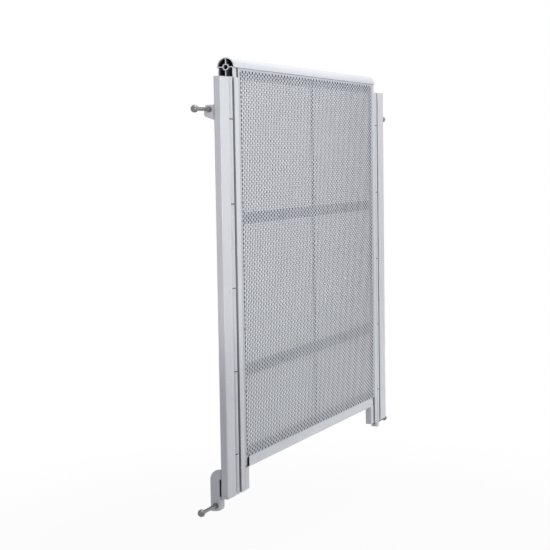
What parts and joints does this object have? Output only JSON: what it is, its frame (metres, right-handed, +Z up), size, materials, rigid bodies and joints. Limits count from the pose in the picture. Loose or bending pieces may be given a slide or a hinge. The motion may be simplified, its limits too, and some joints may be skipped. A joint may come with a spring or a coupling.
{
  "type": "hinged crowd barrier panel",
  "caption": "Perforated crowd barrier panel with a half-round top rail, hinged at both sides to narrow posts with ball-headed hook bolts.",
  "frame": {"origin": "middle of the left post's flat outer face, at half the post's height and half its depth", "axes": "+X along the barrier from the left post to the right one, +Y to the rear, away from the perforated face, +Z up"},
  "size_m": [1.375, 0.0512, 1.1824],
  "materials": {
    "mill_aluminium": "satin extruded aluminium",
    "sheet_aluminium": "satin perforated sheet",
    "zinc_steel": "dull zinc-plated steel"
  },
  "bodies": {
    "left_post_unit": {"left_post": "mill_aluminium", "left_post_knuckles": "mill_aluminium", "left_hinge_pin": "zinc_steel", "left_upper_ear": "mill_aluminium", "left_lower_bracket": "mill_aluminium", "left_upper_bolt": "zinc_steel", "left_lower_bolt": "zinc_steel", "left_upper_nut": "zinc_steel", "left_lower_nut": "zinc_steel"},
    "panel_unit": {"left_side_tube": "mill_aluminium", "left_hinge_leaf": "mill_aluminium", "left_panel_knuckles": "mill_aluminium", "right_side_tube": "mill_aluminium", "right_hinge_leaf": "mill_aluminium", "right_panel_knuckles": "mill_aluminium", "left_foot": "mill_aluminium", "right_foot": "mill_aluminium", "top_rail": "mill_aluminium", "bottom_rail": "mill_aluminium", "centre_bar": "mill_aluminium", "upper_left_rail": "mill_aluminium", "upper_right_rail": "mill_aluminium", "lower_left_rail": "mill_aluminium", "lower_right_rail": "mill_aluminium", "perforated_sheet": "sheet_aluminium"},
    "right_post_unit": {"right_post": "mill_aluminium", "right_post_knuckles": "mill_aluminium", "right_hinge_pin": "zinc_steel", "right_upper_ear": "mill_aluminium", "right_lower_bracket": "mill_aluminium", "right_upper_bolt": "zinc_steel", "right_lower_bolt": "zinc_steel", "right_upper_nut": "zinc_steel", "right_lower_nut": "zinc_steel"}
  },
  "joints": [
    {"name": "left_hinge", "type": "hinge", "parent": "left_post_unit", "child": "panel_unit", "pos_m": [0.0655, 0, 0], "axis": [0, 0, 1], "range_deg": [-90, 90]},
    {"name": "right_hinge", "type": "hinge", "parent": "panel_unit", "child": "right_post_unit", "pos_m": [1.1305, 0, 0], "axis": [0, 0, 1], "range_deg": [-90, 90]}
  ]
}
